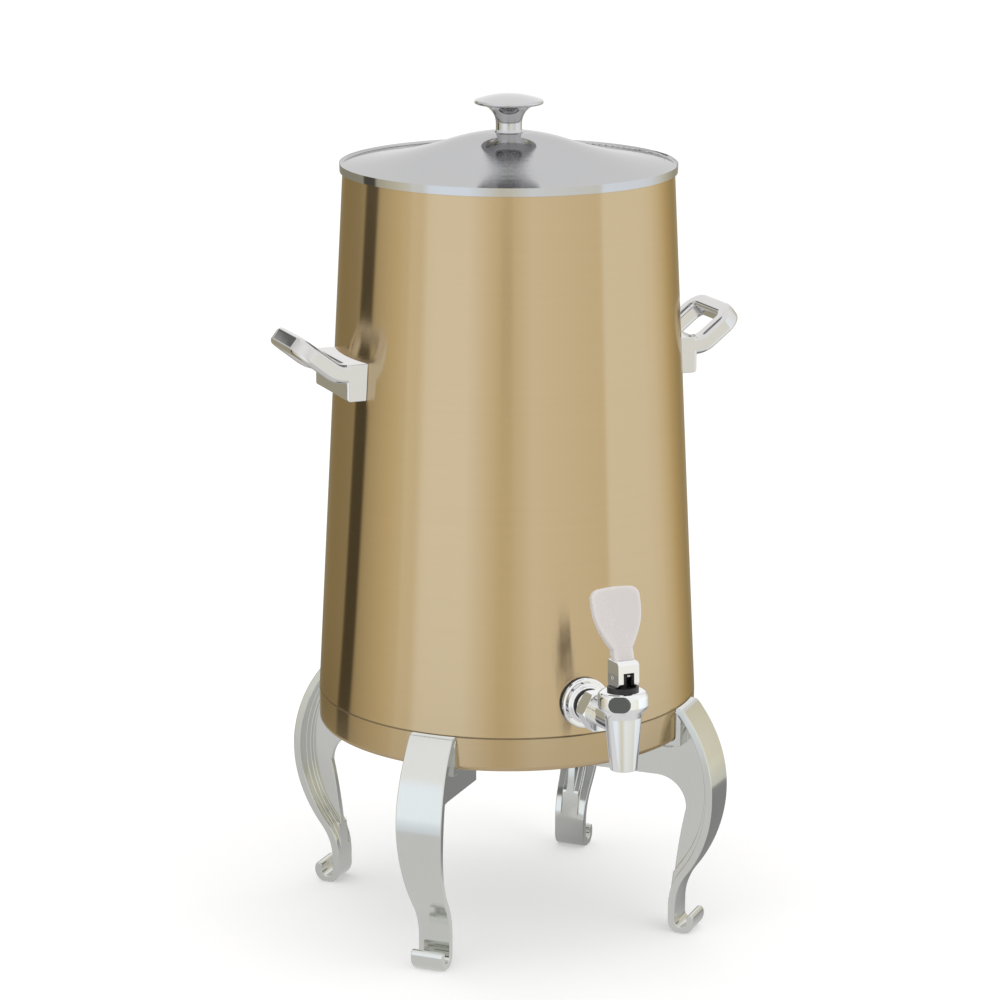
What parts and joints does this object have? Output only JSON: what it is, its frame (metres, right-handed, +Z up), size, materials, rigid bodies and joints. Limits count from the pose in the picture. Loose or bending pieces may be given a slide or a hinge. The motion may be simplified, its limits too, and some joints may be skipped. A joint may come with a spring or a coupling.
{
  "type": "insulated beverage urn",
  "caption": "Tapered double-wall beverage urn on scroll-footed legs, with side handles, a lift-off domed lid with a spool knob and a spring-closed lever faucet at the front.",
  "frame": {"origin": "on the table plane, on the body's axis", "axes": "+Z up along the body's axis, the faucet points along -Y and the handles lie along X"},
  "size_m": [0.3794, 0.3928, 0.6642],
  "materials": {
    "gold_steel": "gold coloured, brushed round the body, satin",
    "satin_steel": "satin",
    "polished_legs": "cast and polished",
    "chrome": "polished",
    "plain_steel": "plain",
    "insulation": "fibre blanket",
    "black_rubber": "matt",
    "clear_rubber": "soft, milky",
    "black_plastic": "moulded",
    "grey_plastic": "moulded",
    "white_plastic": "moulded"
  },
  "bodies": {
    "urn": {"outer_shell": "gold_steel", "base_band": "gold_steel", "base_plate": "satin_steel", "inner_liner": "satin_steel", "mouth_ring": "satin_steel", "insulation_jacket": "insulation", "insulation_base": "insulation", "leg_screws": "plain_steel", "leg_nuts": "plain_steel", "handle_right": "chrome", "handle_left": "chrome", "handle_backing_plates": "plain_steel", "handle_screws": "plain_steel", "faucet_shank": "chrome", "flange_gasket": "black_rubber", "wall_flange": "chrome", "flange_washer": "black_rubber", "coupling_nut": "chrome", "shank_nut": "plain_steel", "liner_gasket": "black_rubber", "faucet_body": "chrome", "faucet_plug": "grey_plastic", "bonnet_cap": "black_plastic", "stem_spring": "plain_steel", "leg_rear_right": "polished_legs", "leg_rear_left": "polished_legs", "leg_front_left": "polished_legs", "leg_front_right": "polished_legs"},
    "stem": {"faucet_stem": "black_plastic", "seat_cup": "clear_rubber"},
    "lever": {"lever_fork": "chrome", "lever_pin": "chrome", "lever_blade": "white_plastic"},
    "lid": {"lid_shell": "satin_steel", "lid_pan": "satin_steel", "lid_knob": "chrome", "knob_washer": "plain_steel", "knob_screw": "plain_steel"}
  },
  "joints": [
    {"name": "stem_lift", "type": "slide", "parent": "urn", "child": "stem", "axis": [0, 0.0519, 0.9987], "range_m": [0, 0.00386], "deforming": ["stem_spring"]},
    {"name": "lever_tilt", "type": "hinge", "parent": "stem", "child": "lever", "pos_m": [0, -0.21968, 0.25488], "axis": [1, 0, 0], "range_deg": [0, 55], "stiffness_Nm_per_rad": 0.0144, "springref_deg": -114.59},
    {"name": "lid_lift", "type": "slide", "parent": "urn", "child": "lid", "axis": [0, 0, 1], "range_m": [0, 0.12]}
  ],
  "couplings": [
    {"joint": "stem_lift", "follows": "lever_tilt", "m_per_rad": 0.004}
  ]
}
